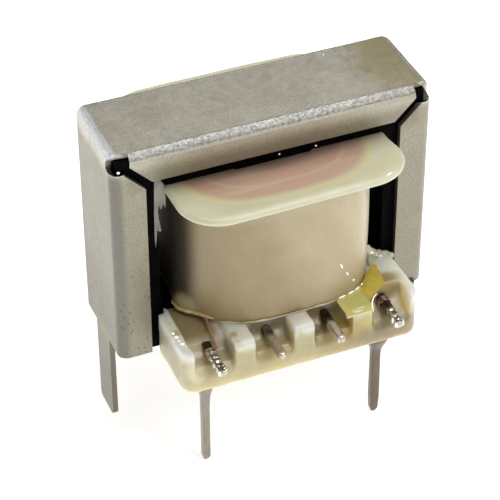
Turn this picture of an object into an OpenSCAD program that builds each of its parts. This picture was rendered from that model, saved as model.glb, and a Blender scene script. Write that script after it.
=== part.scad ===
// Open-frame transformer for a printed circuit board.
// The origin is the middle of the footprint on the board plane: the board lies at z = 0,
// pins and tabs go down through it, and the terminal rows look along -Y and +Y.

/* [Core laminations] */
// Width of one E and I pair
core_w = 25.4; // [24.4:0.1:32]
// Width of the middle leg of an E
tongue_w = 6.35; // [5:0.05:7]
// Width of an outer leg of an E
outer_leg_w = 3.175; // [2.8:0.025:3.6]
// Height of an I, and of the back of an E
yoke_h = 3.175; // [2.9:0.025:3.8]
// Height of the winding windows
window_h = 12.35; // [10:0.05:16]
// Thickness of one lamination
lam_t = 0.485; // [0.45:0.005:0.55]

/* [Channel frame] */
// Thickness of the frame's steel
steel_t = 0.45; // [0.35:0.05:0.6]
// Outside radius of the frame's folds
bend_r = 0.8; // [0.7:0.05:1.2]
// How far the folded flanges reach over the core, from the outside of the web
flange_lap = 2.7; // [2.2:0.05:3.3]
// Width of the open mitre between two flanges
mitre_gap = 0.75; // [0.4:0.05:1]
// Diameter of the relief hole at each corner
relief_d = 2.1; // [1.6:0.1:2.4]
// Width of a board tab
tab_w = 3; // [2:0.1:4.5]
// Length of a board tab below the board plane
tab_l = 8.1; // [4:0.1:9.5]
// Cut corners of a tab's end
tab_bevel = 0.3; // [0.1:0.05:0.6]

/* [Bobbin] */
// Thickness of the bobbin's tube
tube_wall = 0.6; // [0.4:0.05:0.9]
// Thickness of the upper and lower flange
flange_t = 0.6; // [0.4:0.05:0.9]
// How far the flanges stand out past the lamination stack, front and rear
flange_reach = 5.5; // [5.3:0.05:5.8]
// Corner radius of the upper flange
flange_corner = 3; // [2:0.1:4]

/* [Windings] */
// Space from the side edges of the upper flange to the wrapped coil
coil_inset_x = 1.4; // [1.1:0.05:1.7]
// Space from the front and rear edge of the upper flange to the wrapped coil
coil_inset_y = 0.8; // [0.7:0.05:1.1]
// Thickness of the outer paper wrap
wrap_t = 0.45; // [0.2:0.05:0.6]
// Share of the winding room's depth that the outer winding takes
outer_share = 0.48; // [0.35:0.01:0.6]
// Thickness of the tape between the windings
barrier_t = 0.2; // [0.1:0.05:0.4]
// How much a layer's corners grow for each millimetre that its sides grow
corner_growth = 0.94; // [0.85:0.01:1]

/* [Terminals] */
// Distance from one pin to the next
pin_pitch = 5; // [4.6:0.02:5.4]
// Distance from the middle to a row of pins
pin_row_y = 7.5; // [7.2:0.05:7.7]
// Side of the square pin wire
pin_w = 0.64; // [0.5:0.02:0.8]
// Length of a long pin below the board plane
pin_l = 9.8; // [9:0.1:12]
// Height of the wiring posts above the board plane
post_z = 2.7; // [2.6:0.05:2.9]
// How far a wiring post stands out of the terminal block
post_out = 1.6; // [1.3:0.1:2]
// Width of a wire slot in the terminal block
slot_w = 3.3; // [2.6:0.1:3.6]
// Thickness of the walls at the ends of a terminal block
end_wall = 0.9; // [0.6:0.05:1.2]
// Distance from the middle to the face of a terminal block
block_reach = 10.1; // [9.9:0.05:10.6]
// Radius of the upright corners of a terminal block
block_corner = 1.2; // [0.6:0.1:1.6]
// Diameter of the winding wire's leads
wire_d = 0.2; // [0.12:0.01:0.22]

/* [Hidden] */
LAMS = 15;                      // laminations in the stack
PINS = 4;                       // posts in one row
LONG = [0, PINS - 1];           // places in a row that have a leg through the board
LEAD_TURNS = 4;                 // turns of each lead round its post
fold_room = 0.3;                // frame to core, as a share of the folds' inside radius
slide = 0.1;                    // bobbin tube to tongue
rest_gap = 0.05;                // bobbin to the yokes, and block to the frame
side_gap = 0.075;               // bobbin flange to the outer legs
relief_out = 0.05;              // centre of a relief hole, outwards from the folds' own centre
edge_r = 0.5;                   // rounded upper edge of the terminal blocks
scoop_r = 2;                    // hollow at the back of a wire slot
scoop_in = 0.3;                 // middle of the hollow, inwards from the block's face
floor_room = 0.08;              // under the turns of a lead, to the floor of its slot
sill_r = 1;                     // rounded front end of a slot's floor
pin_bend = 0.25;                // inside radius of a pin's bend
tip_l = 0.45;                   // bevelled end of a pin
tip_in = 0.16;                  // bevel at a pin's end, each side
lead_gap = 0.02;                // lead to what it lies on or starts from
lead_exit = 0.93;               // outermost start of a lead, as a share of the coil's half width
tape_t = 0.1;                   // lead tape, with its glue
tape_w = 2;                     // width of each half of the lead tape
tape_rise = 0.62;               // height that the right half rises in its width
tape_drop = 0.7;                // how far the lead tape hangs over the front of its rib
ROUND = 64;                     // corners in the outline of a wound layer
eps = 0.01;
$fn = 48;

stack_d = LAMS * lam_t;
fit = fold_room * (bend_r - steel_t);
core_h = window_h + 2 * yoke_h;
frame_w = core_w + 2 * (steel_t + fit);
frame_d = stack_d + 2 * (steel_t + fit);
frame_h = core_h + steel_t + fit;

bobbin_x = core_w / 2 - outer_leg_w - side_gap;
bobbin_y = stack_d / 2 + flange_reach;
bobbin_top = core_h - yoke_h - rest_gap;
bobbin_foot = yoke_h + rest_gap;
ledge_z = bobbin_foot + flange_t;
ceiling_z = bobbin_top - flange_t;
tube_hole = [tongue_w / 2 + slide, stack_d / 2 + slide];
tube_out = tube_hole + [tube_wall, tube_wall];

coil_xy = [bobbin_x - coil_inset_x, bobbin_y - coil_inset_y];
winding2_xy = coil_xy - [wrap_t, wrap_t];
outer_winding_t = outer_share * (winding2_xy[0] - barrier_t - tube_out[0]);
barrier_xy = winding2_xy - [outer_winding_t, outer_winding_t];
winding1_xy = barrier_xy - [barrier_t, barrier_t];

pin_x0 = -(PINS - 1) / 2 * pin_pitch;
block_x = -pin_x0 + slot_w / 2 + end_wall;
block_back = frame_d / 2 + rest_gap;
post_tip = block_reach + post_out;
lead_r = (pin_w / sqrt(2) + wire_d / 2 + eps) / cos(15);
slot_floor = post_z - lead_r - wire_d / 2 - floor_room;
scoop_y = block_reach - scoop_in;
slot_lip = scoop_y - sqrt(scoop_r * scoop_r - pow(ledge_z - slot_floor - scoop_r, 2));

// ---------------------------------------------------------------- helpers

// Extrudes a drawing of x and z along y, centred on y = 0.
module along_y(depth) {
    translate([0, depth / 2, 0]) rotate([90, 0, 0]) linear_extrude(depth) children();
}

// Extrudes a drawing of y and z along x, centred on x = 0.
module along_x(length) {
    translate([-length / 2, 0, 0]) rotate([90, 0, 90]) linear_extrude(length) children();
}

// A rectangle about the origin with round corners, by its half sizes.
module round_rect(half, r) {
    square([2 * half[0], 2 * (half[1] - r)], center = true);
    square([2 * (half[0] - r), 2 * half[1]], center = true);
    for (x = [-1, 1])
        for (y = [-1, 1])
            translate([x * (half[0] - r), y * (half[1] - r)]) circle(r);
}

// ---------------------------------------------------------------- channel frame

// Section of the channel: web on top at z = 0, two flanges hanging from round folds.
module channel_section() {
    half = frame_d / 2;
    difference() {
        channel_outline(half, bend_r, flange_lap);
        translate([0, -steel_t]) channel_outline(half - steel_t, bend_r - steel_t, flange_lap);
    }
}

module channel_outline(half, r, depth) {
    translate([-half, -depth]) square([2 * half, depth - r]);
    translate([-half + r, -depth]) square([2 * (half - r), depth]);
    for (side = [-1, 1])
        translate([side * (half - r), -r]) circle(r);
}

// One leg of the frame at +x, from the board plane up to the corner fold.
module frame_leg() {
    translate([frame_w / 2, 0, 0])
        rotate([0, 0, -90]) linear_extrude(frame_h - bend_r) channel_section();
}

// The fold between the top and a leg, between the relief holes.
module corner_fold() {
    intersection() {
        translate([frame_w / 2 - bend_r, 0, frame_h - bend_r])
            rotate([90, 0, 0])
                difference() {
                    cylinder(h = frame_d - 2 * bend_r, r = bend_r, center = true);
                    cylinder(h = frame_d, r = bend_r - steel_t, center = true);
                }
        translate([frame_w / 2 - bend_r, -frame_d / 2, frame_h - bend_r])
            cube([bend_r + 1, frame_d, bend_r + 1]);
    }
}

// Open 45 degree mitre and round relief where the flanges of the top and a leg meet.
module corner_cut() {
    inset = bend_r - relief_out;
    translate([frame_w / 2 - bend_r, 0, frame_h - bend_r])
        rotate([0, 135, 0])
            translate([0, -frame_d / 2 - 1, -mitre_gap / 2])
                cube([2 * flange_lap, 1 + bend_r, mitre_gap]);
    translate([frame_w / 2 - inset, -frame_d / 2 + inset, frame_h - inset])
        sphere(d = relief_d);
}

// A board tab: the lower end of the web, narrowed, with its corners cut.
module board_tab() {
    w = tab_w / 2;
    translate([frame_w / 2 - steel_t, 0, 0])
        rotate([90, 0, 90])
            linear_extrude(steel_t)
                polygon([
                    [-w, eps], [-w, -tab_l + tab_bevel], [-w + tab_bevel, -tab_l],
                    [w - tab_bevel, -tab_l], [w, -tab_l + tab_bevel], [w, eps]
                ]);
}

module channel_frame() {
    color("silver")
        difference() {
            union() {
                translate([0, 0, frame_h]) along_x(frame_w - 2 * bend_r) channel_section();
                for (side = [0, 1])
                    mirror([side, 0, 0]) {
                        frame_leg();
                        corner_fold();
                        board_tab();
                    }
            }
            for (side = [0, 1])
                for (row = [0, 1])
                    mirror([side, 0, 0]) mirror([0, row, 0]) corner_cut();
        }
}

// ---------------------------------------------------------------- core

// Every second lamination pair is turned over, so that the joints are bridged.
function turned(i) = i % 2 == 0;

function lam_y(i) = -stack_d / 2 + (i - 0.5) * lam_t;

module e_outline() {
    difference() {
        translate([-core_w / 2, 0]) square([core_w, yoke_h + window_h]);
        for (side = [-1, 1])
            translate([side * (core_w / 2 - outer_leg_w + tongue_w / 2) / 2, yoke_h + window_h])
                square([core_w / 2 - outer_leg_w - tongue_w / 2, 2 * window_h], center = true);
    }
}

module core_e(i) {
    color("dimgray")
        translate([0, lam_y(i), turned(i) ? core_h : 0])
            mirror([0, 0, turned(i) ? 1 : 0]) along_y(lam_t) e_outline();
}

module core_i(i) {
    color("dimgray")
        translate([0, lam_y(i), turned(i) ? 0 : core_h - yoke_h])
            along_y(lam_t) translate([-core_w / 2, 0]) square([core_w, yoke_h]);
}

// ---------------------------------------------------------------- bobbin

// Plan of a terminal block at the front: wide rail, and a neck that reaches the core.
module block_plan() {
    rail = block_reach - block_back;
    translate([-block_x, -block_reach + block_corner]) square([2 * block_x, rail - block_corner]);
    translate([-block_x + block_corner, -block_reach]) square([2 * (block_x - block_corner), rail]);
    for (side = [-1, 1])
        translate([side * (block_x - block_corner), -block_reach + block_corner]) circle(block_corner);
    neck = stack_d / 2 + rest_gap;
    translate([-bobbin_x, -block_back - 1]) square([2 * bobbin_x, block_back + 1 - neck]);
}

// Section of the block: its upper front edge is round.
module block_section() {
    translate([-block_reach + edge_r, 0]) square([block_reach, ledge_z]);
    translate([-block_reach, 0]) square([block_reach, ledge_z - edge_r]);
    translate([-block_reach + edge_r, ledge_z - edge_r]) circle(edge_r);
}

// Section of a wire slot: a floor that rolls over the face, and a hollow rising towards the coil.
module slot_section() {
    translate([-scoop_y, slot_floor + scoop_r]) circle(scoop_r);
    translate([-scoop_y - scoop_r, slot_floor]) square([scoop_r, 2 * scoop_r]);
    translate([-block_reach + sill_r, slot_floor - sill_r])
        difference() {
            translate([-2 * sill_r, 0]) square([2 * sill_r, sill_r + eps]);
            circle(sill_r);
        }
}

module terminal_block() {
    difference() {
        intersection() {
            linear_extrude(ledge_z) block_plan();
            along_x(2 * block_x + 2) block_section();
        }
        for (i = [0:PINS - 1]) {
            translate([pin_x0 + i * pin_pitch, 0, 0]) {
                along_x(slot_w) slot_section();
                pin_body(i);
            }
        }
    }
}

module bobbin() {
    color("ivory")
        difference() {
            union() {
                translate([0, 0, ceiling_z])
                    linear_extrude(flange_t) round_rect([bobbin_x, bobbin_y], flange_corner);
                translate([0, 0, bobbin_foot])
                    linear_extrude(flange_t) square([2 * bobbin_x, 2 * block_back], center = true);
                translate([0, 0, bobbin_foot])
                    linear_extrude(bobbin_top - bobbin_foot) round_rect(tube_out, tube_wall);
                for (row = [0, 180])
                    rotate([0, 0, row]) terminal_block();
            }
            translate([0, 0, bobbin_foot - 1])
                linear_extrude(bobbin_top - bobbin_foot + 2) square(2 * tube_hole, center = true);
        }
}

// ---------------------------------------------------------------- windings

// How far out a layer reaches at its corners, straight from the middle.
function corner_reach(half) =
    norm(tube_out) - tube_wall * (sqrt(2) - 1) + corner_growth * (half[0] - tube_out[0]);

// Roundness of a layer: 2 would be an ellipse, and a high number a rectangle.
function roundness(half) = ln(2) / ln(norm(half) / corner_reach(half));

function power(base, n) = sign(base) * pow(abs(base), n);

// How far the coil reaches to the front at the place x.
function coil_front(x) = let (n = roundness(coil_xy))
    coil_xy[1] * pow(1 - pow(abs(x) / coil_xy[0], n), 1 / n);

// Outline of a wound layer, by its half sizes: nearly flat sides that turn into wide corners.
module wound_outline(half) {
    n = roundness(half);
    polygon([
        for (k = [0:ROUND - 1]) let (a = 360 * (k + 0.5) / ROUND)
            [half[0] * power(cos(a), 2 / n), half[1] * power(sin(a), 2 / n)]
    ]);
}

module layer(outer, inner) {
    translate([0, 0, ledge_z])
        linear_extrude(ceiling_z - ledge_z)
            difference() {
                wound_outline(outer);
                wound_outline(inner);
            }
}

module inner_winding() {
    color("salmon")
        translate([0, 0, ledge_z])
            linear_extrude(ceiling_z - ledge_z)
                difference() {
                    wound_outline(winding1_xy);
                    round_rect(tube_out, tube_wall);
                }
}

module barrier_tape() {
    color("khaki") layer(barrier_xy, winding1_xy);
}

module outer_winding() {
    color("peru") layer(winding2_xy, barrier_xy);
}

module coil_wrap() {
    color("wheat") layer(coil_xy, winding2_xy);
}

// ---------------------------------------------------------------- pins and leads

function has_leg(i) = len([for (k = LONG) if (k == i) k]) > 0;

// Side view of a straight pin end with its bevel, pointing down from z = 0.
module pin_blade(length) {
    w = pin_w / 2;
    polygon([
        [-w, 0], [-w, -length + tip_l], [-w + tip_in, -length],
        [w - tip_in, -length], [w, -length + tip_l], [w, 0]
    ]);
}

module pin_end(length) {
    intersection() {
        along_y(pin_w) pin_blade(length);
        along_x(pin_w) pin_blade(length);
    }
}

// A pin of the front row about x = 0: a leg down, one bend, and a wiring post to the front.
module pin_body(i) {
    turn = pin_bend + pin_w / 2;
    leg_top = post_z - turn;
    translate([0, -pin_row_y, leg_top]) {
        if (has_leg(i)) pin_end(leg_top + pin_l);
        else translate([-pin_w / 2, -pin_w / 2, -leg_top]) cube([pin_w, pin_w, leg_top]);
        translate([0, -turn, 0])
            rotate([90, 0, 90])
                rotate_extrude(angle = 90) translate([turn - pin_w / 2, -pin_w / 2]) square(pin_w);
    }
    translate([0, -pin_row_y - turn, post_z])
        rotate([-90, 0, 0]) pin_end(post_tip - pin_row_y - turn);
}

module pin(i, row) {
    color("gainsboro") rotate([0, 0, row]) translate([pin_x0 + i * pin_pitch, 0, 0]) pin_body(i);
}

// Route of a lead from the coil to its post and round it. Seen from the front, the post is at x,
// and the lead comes down beside it on the side of the middle. It leaves the coil straight behind
// that place, or at the coil's corner where the coil is narrower.
function lead_route(x) = let (
    side = -sign(x),
    beside = x + side * lead_r,
    leave = sign(x) * min(abs(beside), lead_exit * coil_xy[0]),
    from_coil = coil_front(leave + side * wire_d / 2) + lead_gap,
    over_lip = max(from_coil + wire_d, slot_lip - 1.5 * wire_d),
    on_ledge = ledge_z + wire_d / 2 + lead_gap,
    start = post_tip - tip_l - LEAD_TURNS * lead_pitch() - wire_d / 2
) concat(
    [
        [leave, -from_coil, on_ledge],
        [beside, -over_lip, on_ledge],
        [beside, -over_lip - 2.5 * wire_d, on_ledge],
        [beside, -start + 1.25 * wire_d, post_z + pin_w],
        [beside, -start + 0.25 * wire_d, post_z + 0.4 * pin_w]
    ],
    [for (k = [0:12 * LEAD_TURNS]) let (a = k * 30)
        [x + side * lead_r * cos(a), -start - k * lead_pitch() / 12, post_z - lead_r * sin(a)]]
);

function lead_pitch() = 2.4 * wire_d;

function unit(v) = v / norm(v);

function tangent(path, i) = unit(path[min(i + 1, len(path) - 1)] - path[max(i - 1, 0)]);

// Normals carried along the path without twist.
function normals(path, i, last, out = []) = i == len(path) ? out : let (
    t = tangent(path, i),
    n = unit(last - (last * t) * t)
) normals(path, i + 1, n, concat(out, [n]));

// A round wire along a path.
module wire(path, d) {
    sides = 8;
    n = normals(path, 0, [1, 0.02, 0.01]);
    points = [for (i = [0:len(path) - 1]) let (t = tangent(path, i), b = cross(t, n[i]))
        for (k = [0:sides - 1]) let (a = 360 * k / sides)
            path[i] + d / 2 * (cos(a) * n[i] + sin(a) * b)];
    rings = len(path) - 1;
    polyhedron(points, concat(
        [[for (k = [0:sides - 1]) sides - 1 - k]],
        [for (i = [0:rings - 1]) for (k = [0:sides - 1]) let (m = (k + 1) % sides)
            [i * sides + k, i * sides + m, (i + 1) * sides + m, (i + 1) * sides + k]],
        [[for (k = [0:sides - 1]) rings * sides + k]]
    ));
}

module lead(k, row) {
    color("chocolate")
        rotate([0, 0, row]) wire(lead_route(pin_x0 + LONG[k] * pin_pitch), wire_d);
}

// ---------------------------------------------------------------- lead tape

// Tape beside the last front pin. One half lies on the rib before the pin's slot and hangs over
// the rib's front edge; the other half rises from the rib, over the lead, to the coil's corner.
module lead_tape() {
    rib = -pin_x0 - slot_w / 2;
    front = -block_reach;
    edge = rib - 1.2 * tape_w;
    inner = [rib, -coil_xy[1] + 0.7 * tape_w];
    color("gold")
        difference() {
            union() {
                intersection() {
                    linear_extrude(ledge_z + tape_t) polygon([
                        [rib + eps, front + 0.4 * tape_w], [rib - 0.05 * tape_w, front - tape_w],
                        [rib - tape_w, front - tape_w], [edge, front + 0.2 * tape_w],
                        [edge, front + 0.85 * tape_w], inner + [eps, 0]
                    ]);
                    along_x(2 * block_x) tape_section();
                }
                intersection() {
                    linear_extrude(2 * ledge_z) polygon([
                        [rib, front + 0.4 * tape_w], [rib + 0.9 * tape_w, front + 0.85 * tape_w],
                        [coil_xy[0] - tape_t, front + 2.1 * tape_w], inner
                    ]);
                    translate([rib, 0, ledge_z])
                        along_y(2 * block_reach) polygon([
                            [0, 0], [2 * tape_w, 2 * tape_rise],
                            [2 * tape_w, 2 * tape_rise + tape_t], [0, tape_t]
                        ]);
                }
            }
            translate([0, 0, ledge_z - eps]) linear_extrude(ledge_z) wound_outline(coil_xy);
        }
}

// Section of the tape: level on the block, round over its front edge and down its face.
module tape_section() {
    difference() {
        union() {
            translate([-block_reach + edge_r, 0]) square([block_reach, ledge_z + tape_t]);
            translate([-block_reach - tape_t, 0]) square([block_reach, ledge_z - edge_r]);
            translate([-block_reach + edge_r, ledge_z - edge_r]) circle(edge_r + tape_t);
        }
        block_section();
        translate([-block_reach - 1, -1]) square([2 * block_reach, 1 + ledge_z - tape_drop]);
    }
}

// ---------------------------------------------------------------- assembly

channel_frame();
for (i = [1:LAMS]) {
    core_e(i);
    core_i(i);
}
bobbin();
inner_winding();
barrier_tape();
outer_winding();
coil_wrap();
lead_tape();
for (i = [1:PINS]) {
    pin(i - 1, 0);
    pin(i - 1, 180);
}
for (i = [1:len(LONG)]) {
    lead(i - 1, 0);
    lead(i - 1, 180);
}
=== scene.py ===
"""Looks of the PCB transformer: materials, soft edges, varnish, solder, camera and light."""
import math

import bmesh
import bpy
from mathutils import Matrix, Vector, noise


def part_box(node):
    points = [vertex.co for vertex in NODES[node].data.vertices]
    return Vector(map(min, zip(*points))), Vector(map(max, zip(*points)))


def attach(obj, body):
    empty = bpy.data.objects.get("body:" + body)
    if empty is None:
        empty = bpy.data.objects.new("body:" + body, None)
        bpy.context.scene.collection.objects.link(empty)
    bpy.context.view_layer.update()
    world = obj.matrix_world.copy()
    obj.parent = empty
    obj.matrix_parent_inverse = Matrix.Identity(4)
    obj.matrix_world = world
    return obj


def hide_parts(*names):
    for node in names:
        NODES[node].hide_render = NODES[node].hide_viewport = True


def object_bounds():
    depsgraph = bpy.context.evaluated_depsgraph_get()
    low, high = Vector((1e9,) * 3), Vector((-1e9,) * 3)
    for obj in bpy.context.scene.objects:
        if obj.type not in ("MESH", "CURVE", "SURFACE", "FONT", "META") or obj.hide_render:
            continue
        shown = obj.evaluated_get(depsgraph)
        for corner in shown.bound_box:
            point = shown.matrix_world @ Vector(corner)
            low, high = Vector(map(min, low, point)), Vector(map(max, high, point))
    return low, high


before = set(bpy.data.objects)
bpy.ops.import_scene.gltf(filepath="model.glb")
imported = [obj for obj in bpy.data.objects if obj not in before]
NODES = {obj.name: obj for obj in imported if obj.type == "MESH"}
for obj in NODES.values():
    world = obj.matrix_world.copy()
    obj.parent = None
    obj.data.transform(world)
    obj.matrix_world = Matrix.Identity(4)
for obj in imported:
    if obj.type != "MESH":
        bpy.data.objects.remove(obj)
CAD_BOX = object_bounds()
MM = 0.001

# ---------------------------------------------------------------- measures, in millimetres


def box(name):
    """Lowest and highest corner of a CAD node, in millimetres."""
    lo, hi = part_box(name)
    return lo / MM, hi / MM


FRAME_LO, FRAME_HI = box("channel_frame")
COIL_LO, COIL_HI = box("coil_wrap")
LEDGE, CEIL = COIL_LO.z, COIL_HI.z  # where the coil stands, and where the upper flange begins
STACK_Y = -box("core_e_1")[0].y  # half the depth of the lamination stack
BOBBIN_TOP = box("bobbin")[1].z
BLOCK_Y = -box("bobbin")[0].y  # reach of the terminal blocks
UPPER = [v.co / MM for v in NODES["bobbin"].data.vertices if v.co.z / MM > CEIL - 0.05]
FLANGE_X, FLANGE_Y = max(p.x for p in UPPER), -min(p.y for p in UPPER)
LEG_Y = 7.5  # middle of the rows of legs
BEND, SHEET = 0.8, 0.45  # outside radius of the frame's folds, and thickness of its strip
RELIEF_IN, RELIEF_R = 0.75, 1.05  # middle of a corner relief inside the frame's corner, and radius

# ---------------------------------------------------------------- camera and light

scene = bpy.context.scene
AZ, EL, ROLL, DIST = -22.61, 38.03, -0.2203, 172.10
TARGET = Vector((-0.4234, 0, 4.1612))
LENS, SENSOR = 152.93, 36
LIGHT_AIM = Vector((0, 0, 6))


def make_camera():
    """The camera looks at TARGET from azimuth AZ and elevation EL, rolled by ROLL."""
    a, e, r = (math.radians(v) for v in (AZ, EL, ROLL))
    back = Vector((math.sin(a) * math.cos(e), -math.cos(a) * math.cos(e), math.sin(e)))
    right = Vector((math.cos(a), math.sin(a), 0))
    up = back.cross(right)
    right, up = right * math.cos(r) + up * math.sin(r), up * math.cos(r) - right * math.sin(r)
    data = bpy.data.cameras.new("camera")
    data.lens, data.sensor_width = LENS, SENSOR
    data.clip_start, data.clip_end = 0.01, 10
    cam = bpy.data.objects.new("camera", data)
    scene.collection.objects.link(cam)
    place = Matrix((right, up, back)).transposed().to_4x4()
    place.translation = (TARGET + back * DIST) * MM
    cam.matrix_world = place
    scene.camera = cam


def area_light(name, where, size, power, colour):
    """A round soft light at a place in millimetres, aimed at the part."""
    data = bpy.data.lights.new(name, "AREA")
    data.shape = "DISK"
    data.size, data.energy, data.color = size * MM, power, colour
    light = bpy.data.objects.new(name, data)
    light.location = Vector(where) * MM
    aim = (LIGHT_AIM - Vector(where)).normalized()
    light.rotation_euler = aim.to_track_quat("-Z", "Y").to_euler()
    scene.collection.objects.link(light)


make_camera()
area_light("key", (62, -118, 160), 90, 0.12, (1, 0.98, 0.95))
area_light("right", (190, -60, 90), 110, 0.03, (1, 0.98, 0.96))
area_light("left", (-170, -110, 50), 90, 0.022, (1, 0.99, 0.97))
area_light("top", (50, 40, 200), 150, 0.20, (1, 1, 1))
area_light("rim", (-125, 150, 62), 70, 0.06, (0.98, 0.99, 1))

world = bpy.data.worlds.new("studio")
world.use_nodes = True
colour, strength = world.node_tree.nodes["Background"].inputs[:2]
colour.default_value = (1, 1, 1, 1)
strength.default_value = 0.2
scene.world = world
scene.view_settings.view_transform = "Standard"

# ---------------------------------------------------------------- material helpers


class Mat:
    """A small builder for node materials. Places are in millimetres in the part's frame, and a
    mask is a value from 0 to 1, as a number or as a node's output."""

    def __init__(self, name, rough=0.5, metal=0.0, **sockets):
        self.material = bpy.data.materials.new(name)
        self.material.use_nodes = True
        self.tree = self.material.node_tree
        self.shader = self.tree.nodes["Principled BSDF"]
        self.set("Roughness", rough)
        self.set("Metallic", metal)
        for key, value in sockets.items():
            self.set(key.replace("_", " "), value)
        place = self.node("ShaderNodeTexCoord").outputs["Object"]
        self.p = self.vmath("MULTIPLY", place, (1 / MM, 1 / MM, 1 / MM))
        split = self.node("ShaderNodeSeparateXYZ")
        self.link(self.p, split.inputs[0])
        self.x, self.y, self.z = split.outputs

    def node(self, kind, **props):
        n = self.tree.nodes.new(kind)
        for key, value in props.items():
            setattr(n, key, value)
        return n

    def link(self, a, b):
        """Feed input b with a number, a tuple or another node's output."""
        if isinstance(a, (int, float)):
            b.default_value = a
        elif isinstance(a, tuple):
            b.default_value = a if len(a) == len(b.default_value) else (*a, 1)
        else:
            self.tree.links.new(a, b)

    def set(self, name, value):
        self.link(value, self.shader.inputs[name])

    def vmath(self, op, a, b=(0, 0, 0)):
        n = self.node("ShaderNodeVectorMath", operation=op)
        self.link(a, n.inputs[0])
        self.link(b, n.inputs[1])
        return n.outputs["Value" if op == "LENGTH" else "Vector"]

    def math(self, op, a, b=0.0):
        n = self.node("ShaderNodeMath", operation=op)
        self.link(a, n.inputs[0])
        self.link(b, n.inputs[1])
        return n.outputs[0]

    def chain(self, op, values):
        out = values[0]
        for value in values[1:]:
            out = self.math(op, out, value)
        return out

    def mul(self, *values):
        return self.chain("MULTIPLY", values)

    def add(self, *values):
        return self.chain("ADD", values)

    def sub(self, a, b):
        return self.math("SUBTRACT", a, b)

    def abs(self, a):
        return self.math("ABSOLUTE", a)

    def noise(self, scale, detail=3.0, rough=0.5, stretch=None):
        n = self.node("ShaderNodeTexNoise")
        n.inputs["Scale"].default_value = scale
        n.inputs["Detail"].default_value = detail
        n.inputs["Roughness"].default_value = rough
        self.link(self.vmath("MULTIPLY", self.p, stretch) if stretch else self.p, n.inputs["Vector"])
        return n.outputs["Fac"]

    def wobble(self, amount, scale, detail=3.0):
        """Noise about zero, to make an edge ragged."""
        return self.mul(self.sub(self.noise(scale, detail), 0.5), amount)

    def spots(self, scale, size):
        """Small round spots, 1 in their middle."""
        n = self.node("ShaderNodeTexVoronoi")
        n.inputs["Scale"].default_value = scale
        self.link(self.p, n.inputs["Vector"])
        return self.step(n.outputs["Distance"], size, 0.0)

    def step(self, v, low, high):
        """0 where v is at low, 1 where it is at high, smooth between."""
        n = self.node("ShaderNodeMapRange", interpolation_type="SMOOTHSTEP")
        self.link(v, n.inputs[0])
        n.inputs[1].default_value, n.inputs[2].default_value = min(low, high), max(low, high)
        if low > high:
            n.inputs[3].default_value, n.inputs[4].default_value = 1, 0
        return n.outputs[0]

    def band(self, v, low, full, last, high):
        """1 where v lies between full and last, falling to 0 at low and at high."""
        return self.mul(self.step(v, low, full), self.step(v, high, last))

    def near(self, place, radius, soft, ragged=0.0, squeeze=(1, 1, 1)):
        """1 inside a ball about place, fading over soft millimetres, with a ragged edge."""
        d = self.vmath("MULTIPLY", self.vmath("SUBTRACT", self.p, place), squeeze)
        d = self.vmath("LENGTH", d)
        if ragged:
            d = self.add(d, self.wobble(ragged, 0.9))
        return self.step(d, radius + soft, radius)

    def mix(self, fac, a, b):
        n = self.node("ShaderNodeMix", data_type="RGBA")
        self.link(fac, n.inputs[0])
        self.link(a, n.inputs[6])
        self.link(b, n.inputs[7])
        return n.outputs[2]

    def mottle(self, noise, low, high, a, b):
        """Colour a turning to b where the noise rises from low to high."""
        return self.mix(self.step(noise, low, high), a, b)

    def tint(self, c, colour, *masks):
        """c turned towards a colour by the product of the masks."""
        return self.mix(self.mul(*masks), c, colour)

    def bump(self, height, mm, strength):
        n = self.node("ShaderNodeBump")
        n.inputs["Strength"].default_value = strength
        n.inputs["Distance"].default_value = mm * MM
        self.link(height, n.inputs["Height"])
        self.set("Normal", n.outputs[0])


def shaded(colour, by):
    return tuple(v * by for v in colour)


# ---------------------------------------------------------------- materials

NYLON = {"Subsurface_Weight": 0.8, "Subsurface_Radius": (1.0, 0.8, 0.5), "Subsurface_Scale": 0.0024,
         "Coat_Weight": 0.25, "Coat_Roughness": 0.12, "IOR": 1.5}
# for each slot of a block: its x, the amber about its post, the brown varnish and painted shade in the
# hollow behind
SLOT_VARNISH_AND_SHADE = ((-7.5, 0.08, 0), (-2.5, 0.3, 0.85), (2.5, 0.5, 0.85), (7.5, 0.08, 0.85))
# place, radius, softness, raggedness, amount and colour of the stains on the front block; the last three are
# painted light on shaded places
STAINS_AND_PAINTED_LIGHT = (
    ((1.25, -8.9, 2.6), 0.8, 0.7, 0.4, 0.92, (0.27, 0.18, 0.06)),
    ((9.3, -8.6, 3.6), 0.3, 0.7, 0.6, 0.2, (0.62, 0.46, 0.16)),
    ((4.6, -9.9, 2.2), 0.5, 1.4, 1.5, 0.55, (0.50, 0.36, 0.08)),
    ((8.0, -7.9, 3.8), 0.4, 1.3, 1.0, 0.5, (0.60, 0.46, 0.14)),
    ((5.9, -10.1, 2.6), 0.5, 1.0, 0.9, 0.5, (0.62, 0.52, 0.16)),
    ((9.2, -9.0, 2.6), 0.6, 0.8, 0.0, 0.65, (0.88, 0.82, 0.60)),
    ((-8.9, -10.1, 2.0), 0.6, 0.8, 0.0, 0.65, (0.84, 0.80, 0.58)),
    ((-8.1, -8.0, 3.0), 0.6, 0.8, 0.0, 0.65, (0.76, 0.66, 0.40)),
)
COIL_SQUARE = 3.2  # power that makes the coil's outline, seen through the flange, a round square


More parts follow.
